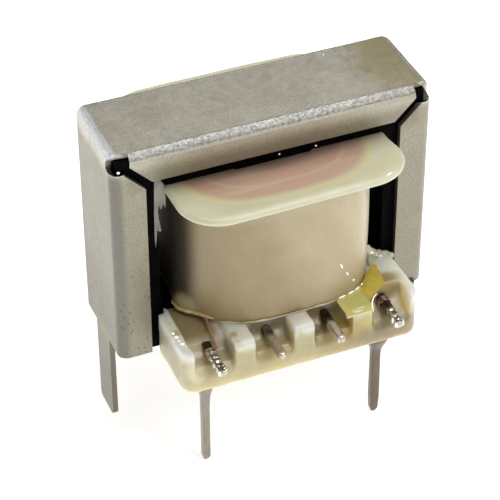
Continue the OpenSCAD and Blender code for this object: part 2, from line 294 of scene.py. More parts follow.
def steel_material():
    """Tin-plated steel of the channel frame, rubbed, pitted and run with varnish."""
    m = Mat("tinned_steel")
    ax, ay, top = m.abs(m.x), m.abs(m.y), FRAME_HI.z
    left = m.step(m.x, 0, -1)
    # plating: cloudy and speckled; painted shade on the upright faces, and darker towards the foot
    grain = m.noise(5.0, 4, 0.6)
    upright = m.step(m.z, top - 0.9, top - 2.2)
    c = m.mottle(m.noise(0.35, 3, 0.55), 0.3, 0.7, (0.57, 0.535, 0.44), (0.66, 0.63, 0.525))
    c = m.tint(c, (0.36, 0.33, 0.27), m.step(grain, 0.45, 0.75), 0.35)
    speckle = m.step(m.noise(9.0, 2, 0.6), 0.46, 0.62)
    c = m.tint(c, (0.27, 0.24, 0.19), speckle, m.add(0.24, m.mul(upright, 0.4)))
    c = m.tint(c, (0.33, 0.30, 0.215), upright, 0.5)
    c = m.tint(c, (0.10, 0.09, 0.065), upright, 0.34)
    c = m.tint(c, (0.24, 0.225, 0.17), m.step(m.z, 16.0, 2.0), 0.35)
    # painted shade along the left leg's folds and on the top's flanges; darker low on the webs
    c = m.tint(c, (0.17, 0.165, 0.145), m.step(ax, 12.2, 12.75), m.step(ay, 3.1, 3.75), left, upright, 0.75)
    c = m.tint(c, (0.17, 0.155, 0.115), m.step(m.z, 9.0, 1.0), m.step(ax, 12.9, 13.1), 0.5)
    c = m.tint(c, (0.17, 0.15, 0.105), m.band(m.z, 15.5, 16.2, 18.1, 18.5), m.step(ax, 12.4, 11.6), 0.32)
    # pits, most of them low down and on the left
    pits = m.mul(m.spots(2.6, 0.34), m.step(m.noise(0.9, 2), 0.60, 0.46),
                 m.add(0.3, m.mul(m.step(m.z, 13.0, 2.0), 0.6)), m.add(0.3, m.mul(m.step(m.x, 6, 0), 0.7)))
    c = m.tint(c, (0.07, 0.055, 0.04), pits)
    # varnish run over the right end of the top, darker in strings along its edge
    run = m.mul(m.near((12.4, 0.4, top), 1.6, 2.6, 2.6, (0.85, 0.55, 1)), m.step(m.z, top - 1.2, top - 0.4))
    c = m.tint(c, (0.37, 0.31, 0.12), run, 0.62)
    strings = m.step(m.abs(m.sub(m.noise(0.55, 2), 0.5)), 0.05, 0.0)
    c = m.tint(c, (0.20, 0.16, 0.07), strings, m.band(run, 0.05, 0.5, 0.55, 0.98), 0.3)
    # varnish where the tabs begin
    c = m.tint(c, (0.36, 0.31, 0.16), m.band(m.z, -1.3, -0.5, 0.1, 0.9), m.step(ay, 2.6, 1.2), 0.6)
    # sheared edges of the tabs and of the legs' feet
    tab_edge = m.mul(m.step(ay, 1.42, 1.47), m.step(m.z, -0.05, -0.2))
    foot_edge = m.mul(m.band(m.z, -0.2, -0.05, 0.03, 0.09), 0.8)
    c = m.tint(c, (0.14, 0.115, 0.09), m.math("MAXIMUM", tab_edge, foot_edge), 0.65)
    # painted shade: the front reliefs' walls are black, with a painted highlight on the rim where the cut
    # meets the plating
    middle = tuple(v - RELIEF_IN for v in FRAME_HI)
    wall = m.vmath("LENGTH", m.vmath("SUBTRACT", m.vmath("ABSOLUTE", m.p), middle))
    wall = m.step(m.abs(m.sub(wall, RELIEF_R)), 0.045, 0.02)
    wall = m.mul(wall, m.step(m.y, 0.62 - FRAME_HI.y, 0.55 - FRAME_HI.y))
    rim = m.math("MAXIMUM", m.step(ax, FRAME_HI.x - 0.3, FRAME_HI.x - 0.16),
                 m.step(ay, FRAME_HI.y - 0.3, FRAME_HI.y - 0.16))
    c = m.tint(c, m.mix(rim, (0.05, 0.045, 0.04), (0.86, 0.84, 0.80)), wall)
    m.set("Metallic", m.sub(0.75, m.mul(wall, 0.6)))
    # a scratch on the left web
    c = m.tint(c, (0.20, 0.12, 0.06), m.near((FRAME_LO.x, 0.05, 9.8), 0.03, 0.1, 0.0, (0.2, 2.2, 0.16)), 0.8)
    # the top's folds are rubbed and grainy, with a painted highlight on the left one
    ridge = m.mul(m.step(ax, 12.5, 12.75), m.step(m.z, 18.5, 18.75))
    fold = m.math("MAXIMUM", m.mul(m.step(ay, 3.4, 3.65), m.step(m.z, 18.6, 18.85)), ridge)
    salt = m.mottle(m.noise(4.2, 3, 0.7), 0.43, 0.57, (0.48, 0.485, 0.47), (0.25, 0.25, 0.24))
    c = m.tint(c, salt, fold, 0.8)
    c = m.tint(c, (0.90, 0.91, 0.90), ridge, left, 0.75)
    # painted shade just under the folds; darker on the tabs
    under = m.mul(m.band(m.z, 18.1, 18.45, 18.5, 18.8), m.step(ay, 3.6, 3.9))
    c = m.tint(c, (0.20, 0.185, 0.15), under, 0.3)
    c = m.tint(c, (0.20, 0.185, 0.15), m.step(m.z, -0.1, -0.6), 0.45)
    fleck = m.mul(m.step(m.noise(5.5, 3, 0.65), 0.52, 0.62), m.add(fold, under), 0.3)
    m.set("Base Color", m.tint(c, (0.14, 0.135, 0.12), fleck, 0.6))
    m.set("Roughness", m.add(0.30, m.mul(m.noise(1.4), 0.16), m.mul(fleck, 0.2), m.mul(ridge, 0.15)))
    h = m.add(m.mul(grain, 0.5), m.mul(m.noise(12, 2), 0.5), m.mul(m.noise(4.5, 3, 0.7), fold, 3.2))
    m.bump(m.sub(h, m.mul(pits, 1.2)), 0.035, 0.6)
    return m.material


def core_material():
    """Oxidised and varnished laminations, nearly black."""
    m = Mat("black_lamination", Specular_IOR_Level=0.02)
    m.set("Base Color", m.mottle(m.noise(0.8), 0.35, 0.7, (0.0015, 0.0015, 0.002), (0.004, 0.004, 0.004)))
    m.bump(m.noise(3, 4), 0.03, 0.4)
    return m.material


def block_material():
    """Translucent moulding of the terminal blocks, with varnish in the slots."""
    m = Mat("nylon_block", 0.3, **NYLON)
    c = m.mottle(m.noise(0.45), 0.3, 0.7, (0.57, 0.535, 0.34), (0.50, 0.445, 0.25))
    # paler and greener at the ends, browner low down and to the right; painted light whitens the high faces
    # of the ribs
    c = m.tint(c, (0.68, 0.68, 0.52), m.step(m.abs(m.x), 6.5, 10.0), 0.35)
    c = m.tint(c, (0.56, 0.49, 0.27), m.step(m.z, 2.4, 1.2), 0.3)
    c = m.tint(c, (0.28, 0.235, 0.14), m.step(m.z, 2.6, 1.6), m.step(m.x, -1.0, 6.0), 0.8)
    c = m.tint(c, (0.96, 0.97, 0.86), m.step(m.z, 2.4, 3.7), m.step(m.noise(0.5, 2), 0.3, 0.45), 0.92)
    # varnish stands in the slots: amber about the posts; brown varnish and painted shade in the hollows
    # behind
    for row in (-1, 1):
        for x, amber, brown_and_shade in SLOT_VARNISH_AND_SHADE:
            root = m.near((x + 0.3, row * (BLOCK_Y - 1.2), 2.0), 0.7, 1.9, 1.8)
            c = m.tint(c, (0.52, 0.37, 0.10), root, amber)
            if brown_and_shade:
                back = m.near((x, row * (BLOCK_Y - 2.7), 3.0), 0.75, 0.9, 0.5, (0.55, 1, 0.8))
                c = m.tint(c, (0.20, 0.135, 0.05), back, brown_and_shade)
    # stains, and pale patches of painted light on shaded places
    for place, radius, soft, ragged, amount, colour in STAINS_AND_PAINTED_LIGHT:
        c = m.tint(c, colour, m.near(place, radius, soft, ragged), amount)
    # shade in the hollow behind the first front slot
    c = m.tint(c, (0.34, 0.25, 0.095), m.band(m.x, -9.2, -9.0, -6.7, -6.1), m.step(m.y, -8.6, -7.0),
               m.step(m.z, 3.7, 3.55), m.step(m.y, 0.0, -1.0), 0.9)
    # dark specks, and pale ones in patches
    c = m.tint(c, (0.12, 0.10, 0.06), m.spots(0.7, 0.07), 0.6)
    c = m.tint(c, (0.95, 0.94, 0.85), m.spots(1.6, 0.1), m.step(m.noise(0.7, 2), 0.52, 0.6), 0.8)
    m.set("Base Color", c)
    m.bump(m.add(m.noise(0.9, 4), m.mul(m.noise(5), 0.15)), 0.12, 0.5)
    return m.material


def flange_material():
    """Translucent moulding of the upper flange, tinted by the coil beneath."""
    m = Mat("nylon_flange", 0.3, **NYLON)
    ax, ay = m.abs(m.x), m.abs(m.y)
    margin = m.mottle(m.noise(0.45), 0.3, 0.7, (0.56, 0.58, 0.48), (0.535, 0.535, 0.41))
    # painted light on the rear rim
    margin = m.tint(margin, (0.95, 0.93, 0.84), m.step(m.y, 9.3, 9.7), 0.8)  # the rear rim is paler
    # the coil shows through the thin plate; d is 0 in the middle and 1 at the coil's edge
    px, py = (m.math("POWER", m.math("DIVIDE", v, half), COIL_SQUARE)
              for v, half in ((ax, COIL_HI.x), (ay, COIL_HI.y)))
    d = m.add(m.math("POWER", m.add(px, py), 1 / COIL_SQUARE), m.wobble(0.05, 0.35, 2))
    c = m.tint(margin, (0.66, 0.60, 0.38), m.step(d, 1.05, 0.99))
    c = m.tint(c, (0.62, 0.39, 0.285), m.step(d, 0.985, 0.90))
    # one layer's edge and pale streaks within the coil, and shade beside the core
    c = m.tint(c, (0.70, 0.56, 0.38), m.step(m.abs(m.sub(d, 0.77)), 0.035, 0.0), 0.5)
    streaks = m.step(m.noise(0.6, 2, 0.5, (0.3, 2.4, 1)), 0.5, 0.7)
    c = m.tint(c, (0.70, 0.54, 0.36), streaks, m.step(d, 0.95, 0.87), 0.5)
    c = m.tint(c, (0.12, 0.095, 0.07), m.step(m.add(ay, m.mul(ax, 0.12)), 5.6, STACK_Y + 0.3), 0.7)
    m.set("Base Color", c)
    m.bump(m.noise(0.8), 0.08, 0.4)
    return m.material


def wrap_material():
    """Varnished paper about the coil."""
    m = Mat("varnished_paper", Coat_Weight=0.12, Coat_Roughness=0.25,
            Subsurface_Weight=0.12, Subsurface_Scale=0.0006)
    weave = m.noise(2.6, 3, 0.6, (1, 1, 0.5))
    fibre = m.noise(7.0, 2, 0.6, (1, 1, 0.6))
    cloud = m.noise(0.25, 3, 0.5, (1, 1, 0.6))
    c = m.mottle(cloud, 0.3, 0.7, (0.55, 0.455, 0.285), (0.63, 0.535, 0.35))
    # painted shade on the left half and low down, painted light at the upper edge
    left_shade = m.add(m.mul(m.x, 0.085), m.wobble(0.7, 0.3))
    c = m.tint(c, (0.31, 0.225, 0.10), m.step(left_shade, 0.6, -0.5), 0.8)
    c = m.tint(c, (0.36, 0.26, 0.12), m.step(m.z, CEIL - 5.5, LEDGE), 0.4)
    c = m.tint(c, (0.74, 0.68, 0.50), m.step(m.z, CEIL - 2.2, CEIL), 0.5)
    c = m.tint(c, (0.47, 0.37, 0.25), m.step(weave, 0.5, 0.8), 0.3)
    c = m.tint(c, (0.30, 0.20, 0.10), m.step(fibre, 0.5, 0.75), 0.16)
    # painted light on the right side
    c = m.tint(c, (0.82, 0.76, 0.58), m.step(m.x, 5.0, 7.4), m.step(m.z, 5.0, 8.0), 0.5)
    # painted shade on the flanks beside the core's legs
    flank = m.mul(m.step(m.abs(m.x), 6.6, 7.9), m.step(m.abs(m.y), 6.6, 4.2))
    c = m.tint(c, (0.018, 0.012, 0.008), flank, 0.93)
    m.set("Roughness", m.add(0.34, m.mul(flank, 0.45)))
    # amber seam at the foot, pale at the lip
    seam = m.step(m.add(m.z, m.mul(m.noise(0.8), 0.9)), LEDGE + 0.95, LEDGE + 0.45)
    c = m.tint(c, (0.36, 0.23, 0.06), seam, 0.7)
    c = m.tint(c, (0.60, 0.50, 0.26), m.near((-7.6, -4.4, LEDGE + 0.2), 0.7, 0.9, 0.6), 0.6)
    m.set("Base Color", c)
    m.bump(m.add(m.noise(0.5, 2), m.mul(weave, 0.12)), 0.25, 0.35)
    return m.material


def tape_material():
    """Yellow tape, paler where it is bent down."""
    m = Mat("yellow_tape", 0.16, Coat_Weight=0.6, Coat_Roughness=0.06,
            Subsurface_Weight=0.3, Subsurface_Scale=0.0006)
    yellow = (0.74, 0.58, 0.09)
    c = m.mottle(m.noise(1.1), 0.35, 0.65, yellow, shaded(yellow, 0.8))
    c = m.tint(c, (0.78, 0.68, 0.28), m.step(m.x, 6.1, 5.5), 0.75)
    c = m.tint(c, (0.66, 0.58, 0.32), m.step(m.z, 3.75, 3.4), 0.8)
    m.set("Base Color", c)
    m.bump(m.noise(1.6, 2), 0.12, 0.6)
    return m.material


def pin_material():
    """Tinned square wire of the posts and legs."""
    m = Mat("tinned_pin", metal=0.92)
    streak = m.noise(2.5, 4, 0.6, (3, 3, 0.35))
    c = m.mottle(streak, 0.35, 0.7, (0.58, 0.54, 0.47), (0.40, 0.36, 0.31))
    # darker on the legs, more on the right ones
    leg = m.step(m.z, 0.3, -0.2)
    c = m.tint(c, (0.17, 0.145, 0.11), leg, 0.62)
    c = m.tint(c, (0.105, 0.085, 0.06), leg, m.step(m.x, 0, 5), 0.75)
    # dark varnish at the posts' roots, less on the second front one
    root = m.step(m.add(m.abs(m.y), m.mul(m.step(m.x, 3.5, 1.5), 0.5)), 10.0, 9.5)
    second = m.mul(m.near((-2.5, -9.9, 2.4), 2.2, 0.2), 0.75)
    c = m.tint(c, (0.07, 0.04, 0.025), root, m.sub(1.0, second), m.step(m.z, 0.4, 0.8), 0.9)
    m.set("Base Color", c)
    m.set("Roughness", m.add(0.12, m.mul(m.noise(1.8), 0.2)))
    m.bump(m.add(streak, m.noise(9, 2)), 0.02, 0.4)
    return m.material


def solder_material():
    m = Mat("solder", rough=0.14, metal=1.0)
    m.set("Base Color", m.mottle(m.noise(3), 0.4, 0.7, (0.78, 0.77, 0.74), (0.42, 0.38, 0.32)))
    m.bump(m.noise(3), 0.08, 0.5)
    return m.material


def tinned_material():
    """Dull sleeve of tin on the third post."""
    m = Mat("tinned_sleeve", rough=0.28, metal=0.55)
    m.set("Base Color", m.mottle(m.noise(2), 0.4, 0.7, (0.68, 0.655, 0.60), (0.50, 0.47, 0.41)))
    m.bump(m.noise(1.5, 2), 0.03, 0.3)
    return m.material


def copper_material(name, dark):
    """Enamelled copper wire, burnt where `dark` is below 1."""
    m = Mat(name, rough=0.22, metal=0.75, Coat_Weight=0.8, Coat_Roughness=0.08)
    pair = (shaded(colour, dark) for colour in ((0.72, 0.33, 0.22), (0.84, 0.56, 0.45)))
    m.set("Base Color", m.mottle(m.noise(1.5, 2), 0.3, 0.7, *pair))
    m.bump(m.noise(4, 2), 0.02, 0.4)
    return m.material


def varnish_material(name, colour, rough, clear=0.0, glow=0.0):
    """Dried dipping varnish; `glow` makes it give off light, as a painted highlight."""
    m = Mat(name, rough, Coat_Weight=0.5, Coat_Roughness=0.05, Transmission_Weight=clear, IOR=1.5,
            Emission_Color=colour, Emission_Strength=glow)
    m.set("Base Color", m.mottle(m.noise(1.4), 0.35, 0.65, colour, shaded(colour, 0.75)))
    m.bump(m.noise(2.2), 0.1, 0.5)
    return m.material


STEEL, CORE = steel_material(), core_material()
BLOCK, FLANGE, WRAP = block_material(), flange_material(), wrap_material()
TAPE, PIN, SOLDER, TINNED = tape_material(), pin_material(), solder_material(), tinned_material()
COPPER, BURNT = copper_material("enamelled_copper", 1.0), copper_material("burnt_copper", 0.5)
AMBER = varnish_material("amber_varnish", (0.66, 0.60, 0.36), 0.14)
HONEY = varnish_material("honey_varnish", (0.66, 0.54, 0.24), 0.08)
MILKY = varnish_material("milky_varnish", (0.76, 0.72, 0.54), 0.1)
DARK = varnish_material("dark_varnish", (0.05, 0.035, 0.02), 0.12, clear=0.1)
GREY = varnish_material("grey_varnish", (0.27, 0.25, 0.205), 0.4)
# ridges and specks of clear varnish that glow: painted highlights
GLINT = varnish_material("varnish_ridge_painted_glint", (0.95, 0.94, 0.88), 0.08, glow=0.7)

# ---------------------------------------------------------------- mesh helpers


def unit(v):
    """v held between 0 and 1."""
    return min(max(v, 0), 1)


def paint(me, mat):
    me.materials.clear()
    me.materials.append(mat)


def piece(name, verts, faces, mat, smooth=True):
    """A mesh from points in millimetres, riding on the part."""
    me = bpy.data.meshes.new(name)
    me.from_pydata([Vector(v) * MM for v in verts], [], faces)
    me.materials.append(mat)
    if smooth:
        me.shade_smooth()
    ob = bpy.data.objects.new(name, me)
    scene.collection.objects.link(ob)
    bm = bmesh.new()
    bm.from_mesh(me)
    bmesh.ops.recalc_face_normals(bm, faces=bm.faces)
    bm.to_mesh(me)
    bm.free()
    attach(ob, "root")
    return ob


def ring_faces(rings, sides, caps=True):
    """Faces that join closed rings of points, one after the other, and close both ends."""
    faces = []
    for i in range(rings - 1):
        for k in range(sides):
            m = (k + 1) % sides
            faces.append((i * sides + k, i * sides + m, (i + 1) * sides + m, (i + 1) * sides + k))
    if caps:
        faces.append(tuple(range(sides))[::-1])
        faces.append(tuple(range((rings - 1) * sides, rings * sides)))
    return faces


def circle(sides):
    """Cosine, sine and angle of the corners of a ring."""
    for k in range(sides):
        a = 2 * math.pi * k / sides
        yield math.cos(a), math.sin(a), a


def modifier(ob, kind, **props):
    mod = ob.modifiers.new(kind.lower(), kind)
    for key, value in props.items():
        setattr(mod, key, value)


def apply_modifiers(ob):
    dg = bpy.context.evaluated_depsgraph_get()
    me = bpy.data.meshes.new_from_object(ob.evaluated_get(dg))
    ob.modifiers.clear()
    ob.data = me


def cad_copy(name, node, mat):
    """An object with a copy of a CAD node's mesh in one material, and the same mesh in bmesh."""
    me = NODES[node].data.copy()
    paint(me, mat)
    for poly in me.polygons:
        poly.material_index = 0
    ob = bpy.data.objects.new(name, me)
    scene.collection.objects.link(ob)
    bm = bmesh.new()
    bm.from_mesh(me)
    bmesh.ops.remove_doubles(bm, verts=bm.verts, dist=1e-7)
    return ob, bm


def soft_copy(name, node, mat, width, segments):
    """The CAD node with its edges broken, in its own place."""
    ob, bm = cad_copy(name, node, mat)
    bmesh.ops.dissolve_limit(bm, angle_limit=math.radians(0.6), verts=bm.verts, edges=bm.edges)
    bm.to_mesh(ob.data)
    bm.free()
    modifier(ob, "BEVEL", width=width * MM, segments=segments, limit_method="ANGLE",
             angle_limit=math.radians(32), harden_normals=False)
    apply_modifiers(ob)
    ob.data.shade_smooth()
    ob.data.set_sharp_from_angle(angle=math.radians(38))
    modifier(ob, "WEIGHTED_NORMAL", keep_sharp=True, weight=100)
    apply_modifiers(ob)
    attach(ob, "root")
    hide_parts(node)
    return ob


def tube(name, path, radius, mat, sides):
    """A round wire along points; radius is a number or a function of the way along, 0 to 1."""
    pts = [Vector(p) for p in path]
    n = len(pts)
    verts = []
    side = (pts[1] - pts[0]).orthogonal().normalized()
    for i in range(n):
        t = (pts[min(i + 1, n - 1)] - pts[max(i - 1, 0)]).normalized()
        side = (side - t * side.dot(t)).normalized()
        other = t.cross(side)
        r = radius(i / (n - 1)) if callable(radius) else radius
        verts += [pts[i] + (side * c + other * s) * r for c, s, _ in circle(sides)]
    return piece(name, verts, ring_faces(n, sides), mat)


def swell(ends, more):
    """Radius of a tube that is thicker in the middle."""
    return lambda t: ends + more * math.sin(math.pi * t)


def smooth_path(points, steps=8):
    """Catmull-Rom curve through the points."""
    p = [Vector(q) for q in points]
    p = [p[0] * 2 - p[1]] + p + [p[-1] * 2 - p[-2]]
    out = []
    for i in range(1, len(p) - 2):
        for s in range(steps):
            t = s / steps
            out.append(0.5 * ((2 * p[i]) + (p[i + 1] - p[i - 1]) * t
                              + (2 * p[i - 1] - 5 * p[i] + 4 * p[i + 1] - p[i + 2]) * t * t
                              + (3 * p[i] - p[i - 1] - 3 * p[i + 1] + p[i + 2]) * t ** 3))
    out.append(p[-2])
    return out


def blob(name, centre, size, mat, seed, rough, scale=1.0, level=4):
    """A lumpy drop: an icosphere stretched to size and roughened by noise."""
    bm = bmesh.new()
    bmesh.ops.create_icosphere(bm, subdivisions=level, radius=1)
    off = Vector((seed * 7.3, seed * 3.1, seed * 5.7))
    verts = []
    for v in bm.verts:
        coarse, fine = (noise.noise(v.co * scale * f + off) for f in (1.7, 4.1))
        k = 1 + rough * coarse + rough * 0.5 * fine
        verts.append(Vector(centre) + Vector(size) * v.co * k)
    faces = [tuple(v.index for v in f.verts) for f in bm.faces]
    bm.free()
    return piece(name, verts, faces, mat)


# ---------------------------------------------------------------- frame and core


def corner_patch(name, side, row, ends):
    """The strip runs on over an upper corner. `ends`: where it stops, measured from the flange,
    on the top and on the side; less than BEND means that it has turned into the flange's fold."""
    wide, span = 1.75, 3.6  # how far it lies over the top and the side, and in from the flange
    proud = 0.012  # how far it stands out of the frame's own sheet
    steps, cols = 8, 16  # steps over the fold, and points across the strip
    flat = [wide + (BEND - wide) * k / 4 for k in range(4)]
    across = [(u, BEND, 0.0) for u in flat]
    across += [(BEND, BEND, math.pi / 2 * k / steps) for k in range(steps + 1)]
    across += [(BEND, w, math.pi / 2) for w in reversed(flat)]
    rows = len(across)
    verts = []
    for r in (BEND + proud, BEND - SHEET):
        for i, (u, w, phi) in enumerate(across):
            end = ends[0] + (ends[1] - ends[0]) * (i / (rows - 1)) ** 0.75
            for k in range(cols):
                v = span + (end - span) * k / (cols - 1)
                beta = math.asin(max(BEND - v, 0) / BEND)
                c = r * math.cos(beta)
                verts.append((side * (FRAME_HI.x - u + c * math.sin(phi)),
                              row * (FRAME_HI.y - max(v, BEND) + r * math.sin(beta)),
                              FRAME_HI.z - w + c * math.cos(phi)))
    # the outer sheet, the inner one, and the edge between them all the way round
    size = rows * cols
    faces = [(b + i * cols + j, b + i * cols + j + 1, b + (i + 1) * cols + j + 1, b + (i + 1) * cols + j)
             for b in (0, size) for i in range(rows - 1) for j in range(cols - 1)]
    ring = [i * cols for i in range(rows)] + [(rows - 1) * cols + j for j in range(1, cols)]
    ring += [i * cols + cols - 1 for i in range(rows - 2, -1, -1)] + list(range(cols - 2, 0, -1))
    faces += [(p, q, q + size, p + size) for p, q in zip(ring, ring[1:] + ring[:1])]
    ob = piece(name, verts, faces, STEEL)
    ob.data.set_sharp_from_angle(angle=math.radians(45))


for side, word in ((-1, "left"), (1, "right")):
    corner_patch(f"corner_front_{word}", side, -1, (0.4, 1.35))
    corner_patch(f"corner_rear_{word}", side, 1, (0.1, 0.1))
soft_copy("frame_steel", "channel_frame", STEEL, 0.05, 2)
for name, ob in NODES.items():
    if name.startswith("core_"):
        paint(ob.data, CORE)

# ---------------------------------------------------------------- upper flange

FRONT_R, REAR_R = 3.5, 2.9  # the flange's corner radii
HOLE_X, HOLE_Y, HOLE_R = 3.3, STACK_Y + 0.12, 0.3  # the hole about the core's middle leg


def round_rect_point(hx, hy, r, a):
    """Point of a rounded rectangle's edge in the direction a."""
    c, s = math.cos(a), math.sin(a)
    reach = min(hx / max(abs(c), 1e-9), hy / max(abs(s), 1e-9))
    x, y = c * reach, s * reach
    cx, cy = hx - r, hy - r
    if abs(x) > cx and abs(y) > cy:
        # the ray meets the corner's circle
        ox, oy = math.copysign(cx, c), math.copysign(cy, s)
        b = c * ox + s * oy
        k = b + math.sqrt(max(b * b - (ox * ox + oy * oy - r * r), 0))
        x, y = c * k, s * k
    return x, y


def warped(x, y, z):
    """A point of the flange, out of true and wavy: both halves stand to the right, the front one
    forwards, the rear one back and up. The part within the core stays."""
    end = unit((abs(y) - 4.3) / 1.7)
    left = unit((-x - 4) / 3)
    slide = end + (unit((abs(y) - 1) / 3) - end) * left
    x += (0.385 - 0.007 * x) * slide
    if y < 0:
        y -= (0.36 - 0.018 * x) * end
    else:
        y, z = y + 0.3 * end, z + 0.12 * end
    wave = 0.07 * noise.noise(Vector((x * 0.22, y * 0.22, 3.0)))
    return x, y, z + wave * (abs(y) / FLANGE_Y) ** 4


def make_flange():
    """The thin upper flange: a plate with a rounded rim, about the tube."""
    mid, half = (BOBBIN_TOP + CEIL) / 2, (BOBBIN_TOP - CEIL) / 2
    around, across, over = 192, 10, 6
    rim = [(half * math.cos(b), half * math.sin(b)) for b in (math.pi * k / over for k in range(1, over))]
    verts, faces = [], []
    for i in range(around):
        a = 2 * math.pi * (i + 0.5) / around
        r = FRONT_R if a > math.pi else REAR_R
        ox, oy = round_rect_point(FLANGE_X - half, FLANGE_Y - half, r - half, a)
        ix, iy = round_rect_point(HOLE_X, HOLE_Y, HOLE_R, a)
        # from the hole outwards over the top, round the rim and back below
        flat = [(ix + (ox - ix) * k / across, iy + (oy - iy) * k / across) for k in range(across + 1)]
        column = [(x, y, half) for x, y in flat]
        column += [(ox + math.cos(a) * dr, oy + math.sin(a) * dr, dz) for dz, dr in rim]
        column += [(x, y, -half) for x, y in reversed(flat)]
        verts += [warped(x, y, mid + z) for x, y, z in column]
    count = len(column)
    for i in range(around):
        j = (i + 1) % around
        for k in range(count):
            m = (k + 1) % count
            faces.append((i * count + k, j * count + k, j * count + m, i * count + m))
    ob = piece("upper_flange", verts, faces, FLANGE)
    ob.data.set_sharp_from_angle(angle=math.radians(50))
    return ob


flange = make_flange()
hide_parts("bobbin")

# ---------------------------------------------------------------- terminal blocks

HOLLOW_X, HOLLOW_EDGE = (-9.25, -5.75), 0.2  # sides of the hollow behind the first front slot
RAMP = ((-4.0, 3.5), (-6.4, 3.4), (-7.6, 3.25), (-8.2, 2.95), (-8.9, 2.3))  # y and z of its floor
VOXEL = 0.12  # grain of the blocks' remeshing


def hollow(p):
    """Height of the surface at p behind the first slot, where the floor runs back under the coil."""
    if not (HOLLOW_X[0] < p.x < HOLLOW_X[1] and RAMP[-1][0] < p.y < 0):
        return p.z
    for (y0, z0), (y1, z1) in zip(RAMP, RAMP[1:]):
        if y1 <= p.y:
            break
    floor_z = z0 + (z1 - z0) * unit((p.y - y0) / (y1 - y0))
    inside = min((p.x - HOLLOW_X[0]) / HOLLOW_EDGE, (HOLLOW_X[1] - p.x) / HOLLOW_EDGE, 1)
    return p.z - max(p.z - floor_z, 0) * 0.98 * inside


def make_block(name, row):
    """One terminal block cut out of the moulding, softened as a moulded part is."""
    ob, bm = cad_copy(name, "bobbin", BLOCK)
    cuts = (((0, 0, LEDGE + 0.001), (0, 0, 1)), ((0, row * (STACK_Y + 0.06), 0), (0, -row, 0)))
    for point, normal in cuts:
        geom = bm.verts[:] + bm.edges[:] + bm.faces[:]
        bmesh.ops.bisect_plane(bm, geom=geom, plane_co=Vector(point) * MM, plane_no=normal,
                               clear_outer=True, dist=1e-8)
        edges = [e for e in bm.edges if e.is_boundary]
        bmesh.ops.holes_fill(bm, edges=edges, sides=0)
    bmesh.ops.recalc_face_normals(bm, faces=bm.faces)
    bm.to_mesh(ob.data)
    bm.free()
    # the remesher works in millimetres
    ob.data.transform(Matrix.Scale(1 / MM, 4))
    modifier(ob, "REMESH", mode="VOXEL", voxel_size=VOXEL)
    modifier(ob, "SMOOTH", factor=0.5, iterations=5)
    apply_modifiers(ob)
    ob.data.transform(Matrix.Scale(MM, 4))
    normals = [v.normal.copy() for v in ob.data.vertices]
    for v, out in zip(ob.data.vertices, normals):
        p = v.co / MM
        v.co += out * (0.035 * noise.noise(p * 0.9) + 0.012 * noise.noise(p * 3.1)) * MM
        v.co.z = hollow(v.co / MM) * MM
    ob.data.shade_smooth()
    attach(ob, "root")
    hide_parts("bobbin")


make_block("front_block", -1)
make_block("rear_block", 1)

# ---------------------------------------------------------------- coil


def coil_outline(a, out=0.0):
    """Point on the coil's outline in direction a, moved outwards: a round square, rounder at the
    front left corner."""
    n = 3.45 - 0.5 * max(0.0, math.cos(a - math.radians(225))) ** 2
    c, s = math.cos(a), math.sin(a)
    p = Vector((COIL_HI.x * math.copysign(abs(c) ** (2 / n), c),
                COIL_HI.y * math.copysign(abs(s) ** (2 / n), s)))
    return p + p.normalized() * out


def lip_reach(a):
    """How far the varnished foot of the wrap stands out in direction a."""
    return 0.72 * math.exp(-((a - math.radians(197)) / 0.2) ** 2)


def make_wrap():
    """The paper wrap: soft sides, and a lip that stands out at the lower left corner."""
    around, up, room = 160, 36, 0.02
    verts = []
    for j in range(up + 1):
        t = j / up
        z = LEDGE + room + (CEIL - LEDGE - 2 * room) * t
        for _, _, a in circle(around):
            p = coil_outline(a)
            soft = 0.10 * noise.noise(Vector((p.x * 0.3, p.y * 0.3, z * 0.18)))
            p = coil_outline(a, lip_reach(a) * math.exp(-(t * 8) ** 1.4) + soft - 0.06)
            verts.append((p.x, p.y, z))
    ob = piece("paper_wrap", verts, ring_faces(up + 1, around, caps=False), WRAP)
    modifier(ob, "SOLIDIFY", thickness=0.22 * MM, offset=-1)
    apply_modifiers(ob)
    ob.data.shade_smooth()
    ob.data.set_sharp_from_angle(angle=math.radians(50))
    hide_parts("coil_wrap")


make_wrap()
for name, mat in (("inner_winding", COPPER), ("outer_winding", COPPER), ("barrier_tape", TAPE)):
    paint(NODES[name].data, mat)

# ---------------------------------------------------------------- pins, leads and solder

for row in ("front", "rear"):
    for i in range(1, 5):
        soft_copy(f"{row}_post_{i}", f"{row}_pin_{i}", PIN, 0.07, 2)


def post(pin):
    """x and z of a post's middle, y of its tip, and the side it is on: -1 front, 1 rear."""
    lo, hi = box(pin)
    row = 1 if hi.y > 0 else -1
    return (lo.x + hi.x) / 2, hi.z - (hi.x - lo.x) / 2, hi.y if row > 0 else lo.y, row


